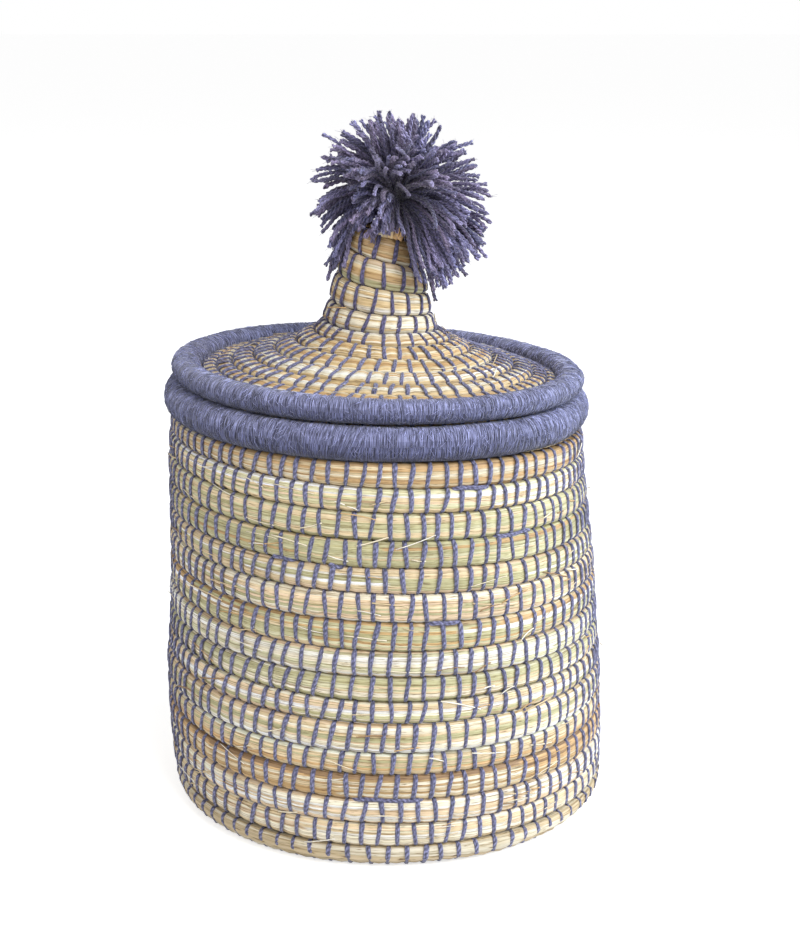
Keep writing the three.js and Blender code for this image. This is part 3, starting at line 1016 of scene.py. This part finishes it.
def strand_lengths(number, aim, azimuth, stray, seed):
    """Longer to the right and below, shorter at the top left, and short where the spire's front shows."""
    up, down = np.clip(aim[:, 2], 0, 1), np.clip(-aim[:, 2], 0, 1)
    long = 36 + 5 * hashed(number, seed + 4) - 4 * up ** 2 + 2 * down + 6 * stray
    long = long - 5 * up * np.clip(-1.5 * aim[:, 0], 0, 1) + 2 * up * np.clip(aim[:, 0], 0, 1)
    over_spire = (azimuth > -1.3) & (azimuth < 0.08) & (aim[:, 2] < 0.45)
    short = (12.5 + 6 * hashed(number, seed + 8)) / (0.57 + 0.5 * down)
    return np.where(over_spire, np.minimum(long, short), long)


def strand_pull(number, aim, stray, seed):
    """Where each strand bends to: with its clump, by itself, and out from in front of the camera."""
    x, y, z = aim[:, 0], aim[:, 1], aim[:, 2]
    pairs = ((x, y), (y, z), (z, x))
    clump = [wander(a * 3 + 5 * b, seed + 5 + k) for k, (a, b) in enumerate(pairs)]
    alone = offsets(number, seed + 20)
    facing = aim @ CAMERA_SIDE
    outward = unit(aim - facing[:, None] * CAMERA_SIDE) * np.clip(facing, 0, 1)[:, None]
    pull = 0.9 * np.stack(clump, -1) + (0.9 + 1.2 * stray)[:, None] * alone + 0.7 * outward
    return pull - np.sum(pull * aim, -1, keepdims=True) * aim


def strand_paths(number, aim, azimuth, stray, pull, u, seed):
    """Strands that leave the root, bend, droop, crimp and lie on the spire."""
    up = np.clip(aim[:, 2], 0, 1)
    long = strand_lengths(number, aim, azimuth, stray, seed)
    beside = ((np.abs(azimuth - 0.8) < 0.72) | (np.abs(azimuth + 1.75) < 0.45)) & (aim[:, 2] < 0.3)
    sag = (0.95 + 0.5 * hashed(number, seed + 9)) * (1 - 0.6 * up) * (1 + 0.55 * beside)
    heading = aim[:, None] + pull[:, None] * (0.75 * u)[None, :, None]
    heading[..., 2] -= sag[:, None] * u ** 1.2
    steps = (long[:, None] * np.diff(u, prepend=0))[..., None]
    path = ROOT + 1.2 * aim[:, None] + np.cumsum(unit(heading) * steps, axis=1)
    crimp = [wander(u[None] * 4.5 + 9 * number[:, None], seed + k) for k in (10, 11, 12)]
    path = path + CRIMP * np.stack(crimp, -1) * np.clip(4 * u, 0, 1)[None, :, None]
    room = np.interp(path[..., 2], SPIRE_HEIGHTS, SPIRE_ROOM)
    flat = np.linalg.norm(path[..., :2], axis=-1)
    path[..., :2] *= np.maximum(room / np.maximum(flat, 0.5), 1)[..., None]
    return path


def strand_tints(number, u, seed):
    """Painted shade darkens the strands toward the root, in the pompom's core, and painted light lifts them a
    little at the tips, which also blend to a paler colour; each strand has a tone and a warmth of its own.
    """
    # Painted shade toward the root and a little painted light at the tips
    shade = np.interp(u, [0, 0.35, 0.7, 1], [0.35, 0.75, 1, 1.1])[None, :, None]
    tip = np.interp(u, [0, 0.6, 1], [0, 0.15, 0.75])[None, :, None]
    tone = (1 + 0.4 * signed(number, seed + 15))[:, None, None]
    warmth = (hashed(number, seed + 18) - 0.5)[:, None, None] * np.array([0.2, 0, -0.14])
    return (WOOL + (WOOL_TIP - WOOL) * tip) * shade * tone * (1 + warmth)


def strands(soup, count, seed):
    """Strands that spread, flow in clumps and droop. Each is two twisted plies that part at the tip."""
    number, aim = strand_aims(count, seed)
    stray = hashed(number, seed + 16) > STRAY_FROM
    azimuth = np.arctan2(aim[:, 1], aim[:, 0]) - FRONT
    azimuth = (azimuth + TURN / 2) % TURN - TURN / 2
    u = 1 - (1 - np.linspace(0, 1, STRAND_RINGS)) ** 1.25
    pull = strand_pull(number, aim, stray, seed)
    path = strand_paths(number, aim, azimuth, stray, pull, u, seed)
    thick = STRAND_RADIUS + 0.1 * signed(number, seed + 13)
    along = lengths(path)
    turn = TURN * along / PLY_PITCH + 6 * hashed(number, seed + 14)[:, None]
    tangent = unit(np.gradient(path, axis=1))
    side = unit(np.cross(tangent, pull[:, None] + 0.01))
    rise = np.cross(side, tangent)
    tint = strand_tints(number, u, seed)
    frayed = np.clip((along - along[:, -1:] + FRAY) / FRAY, 0, 1)
    apart = thick[:, None] * (0.66 + 0.35 * frayed ** 2)
    size = thick[:, None] * (1 - 0.15 * frayed)
    for half_turn in (0, TURN / 2):
        swing = turn + half_turn
        ply = path + (apart * np.cos(swing))[..., None] * side + (apart * np.sin(swing))[..., None] * rise
        soup.add(tubes(ply, tangent + 0.4 * side, size, size, 5), tint[:, :, None], along)
    fuzz(soup, path, tangent, tint, seed + 30)


def fuzz(soup, path, tangent, tint, seed):
    """Short fine fibres that stand off the strands."""
    number = np.arange(FIBRES)
    strand = (len(path) * hashed(number, seed)).astype(int)
    ring = (4 + (STRAND_RINGS - 5) * hashed(number, seed + 1)).astype(int)
    stray = 2 * offsets(number, seed + 2)
    heading = unit(0.9 * tangent[strand, ring] + stray)
    bend = 2 * offsets(number, seed + 5)
    q = np.linspace(0, 1, 4)[None, :, None]
    long = (1.3 + 1.6 * hashed(number, seed + 8))[:, None, None]
    line = path[strand, ring][:, None] + long * q * (heading[:, None] + 0.5 * q * bend[:, None])
    thin = np.full(line.shape[:2], FIBRE_RADIUS)
    shade = 1.3 * tint[strand, ring][:, None, None]
    soup.add(tubes(line, bend[:, None] + 0.01, thin, thin, 3), shade, lengths(line))


pompom = Soup()
strands(pompom, STRANDS, 600)
pompom.build("pompom_strands", "lid", "pompom_yarn", pompom_wool, "pompom_crown", "pompom_skirt")


# What holds the pompom: a tie round its middle, a twisted tail down the spire and a knot

CORD_SIDES = 8
CORD_PITCH = 4.8


def cord(soup, path, away, radius, colour, lobes=0):
    """Yarn of one thickness on a path. With lobes, its outline is plied and turns along it."""
    along = lengths(path)
    thick = np.full(along.shape, radius)
    spin = TURN * along / CORD_PITCH if lobes else 0
    soup.add(tubes(path, away, thick, thick, CORD_SIDES, spin, lobes), colour, along)


TIE_TURNS = 4.2
TIE_RADIUS = 7.2
TIE_FOOT = 260.9
TIE_RISE = 0.85

tie_turn = np.linspace(0, TIE_TURNS, 110)
tie_path = polar(TIE_RADIUS, TURN * tie_turn, TIE_FOOT + TIE_RISE * tie_turn)[None]
tie = Soup()
cord(tie, tie_path, tie_path * [1, 1, 0], 1.0, WOOL * 0.8, lobes=0.2)
tie.build("pompom_tie_yarn", "lid", "pompom_yarn", pompom_wool, "pompom_tie")

TAIL_STEPS = 80
TAIL_TURNS = 5
TAIL_RADIUS = 1.25
TAIL_FOOT = 238.5
TAIL_TOP = 273.5

tail = Soup()
for half_turn in (0, 0.5):
    tail_spin = TURN * (np.linspace(0, TAIL_TURNS, TAIL_STEPS) + half_turn)
    tail_path = polar(TAIL_RADIUS, tail_spin, np.linspace(TAIL_FOOT, TAIL_TOP, TAIL_STEPS))[None]
    cord(tail, tail_path, np.array([1.0, 0, 0]), 1.35, WOOL, lobes=0.15)
tail.build("pompom_tail_yarn", "lid", "pompom_yarn", pompom_wool, "pompom_tail")

KNOT_HEIGHT = 248.3
KNOT_RADIUS = 2.2
KNOT_LOOP = 1.1
KNOT_RISE = 2.3

lobe = np.linspace(0, TURN, 90)
knot_r = KNOT_RADIUS + KNOT_LOOP * np.cos(3 * lobe)
knot_z = KNOT_HEIGHT + KNOT_RISE * np.sin(3 * lobe)
knot_path = polar(knot_r, 2 * lobe, knot_z)[None]
knot = Soup()
cord(knot, knot_path, np.array([0, 0, 1.0]), 1.6, WOOL)
knot.build("anchor_knot_yarn", "lid", "pompom_yarn", pompom_wool, "anchor_knot")


# Floor and light

FLOOR_REACH = 60
FLOOR_LEVEL = -0.0003
FLOOR_GREY = (0.8, 0.8, 0.8, 1)
FLOOR_GLOW = 0.64
AMBIENT = 0.42
WHITE = (1, 1, 1, 1)


def camera_choice(nodes, links, lights, shows):
    """A shader that lights the scene, and another that the camera sees."""
    rays = nodes.new("ShaderNodeLightPath")
    choose = nodes.new("ShaderNodeMixShader")
    links.new(rays.outputs["Is Camera Ray"], choose.inputs["Fac"])
    links.new(lights, choose.inputs[1])
    links.new(shows, choose.inputs[2])
    return choose.outputs["Shader"]


def glowing(nodes, strength):
    glow = nodes.new("ShaderNodeEmission")
    glow.inputs["Strength"].default_value = strength
    return glow.outputs["Emission"]


sides = ((-1, -1), (1, -1), (1, 1), (-1, 1))
floor_corners = [(x * FLOOR_REACH, y * FLOOR_REACH, FLOOR_LEVEL) for x, y in sides]
floor_mesh = bpy.data.meshes.new("floor")
floor_mesh.from_pydata(floor_corners, [], [(0, 1, 2, 3)])
floor = new_object("floor", floor_mesh)
floor_look, nodes, links, plain = new_material("floor_looks", roughness=0.9)
plain.inputs["Base Color"].default_value = FLOOR_GREY
both = nodes.new("ShaderNodeAddShader")
links.new(plain.outputs["BSDF"], both.inputs[0])
links.new(camera_choice(nodes, links, glowing(nodes, 0), glowing(nodes, FLOOR_GLOW)), both.inputs[1])
links.new(both.outputs["Shader"], nodes["Material Output"].inputs["Surface"])
floor_mesh.materials.append(floor_look)

world = bpy.data.worlds.new("world")
scene.world = world
world.use_nodes = True
nodes, links = world.node_tree.nodes, world.node_tree.links
soft = nodes["Background"]
soft.inputs["Color"].default_value = WHITE
soft.inputs["Strength"].default_value = AMBIENT
white = nodes.new("ShaderNodeBackground")
white.inputs["Color"].default_value = WHITE
white.inputs["Strength"].default_value = 1
backdrop = camera_choice(nodes, links, soft.outputs["Background"], white.outputs["Background"])
links.new(backdrop, nodes["World Output"].inputs["Surface"])

LAMP_AIM = (0, 0, 0.15)


def lamp(name, place, size, power, colour=(1, 1, 1)):
    """A square lamp, with its size in metres and its power in watts, that points at the basket."""
    data = bpy.data.lights.new(name, "AREA")
    data.shape = "SQUARE"
    data.size = size
    data.energy = power
    data.color = colour
    light = new_object(name, data)
    light.location = place
    away = unit(np.array(place) - np.array(LAMP_AIM))
    light.rotation_euler = (math.acos(away[2]), 0, math.atan2(away[1], away[0]) + TURN / 4)


lamp("key", (0.85, -1.15, 1.6), size=1.2, power=31)
lamp("side", (1.7, -0.1, 0.7), size=1.2, power=26.5, colour=(0.8, 0.9, 1))
lamp("fill", (-1.6, -1.0, 0.7), size=1.4, power=9)
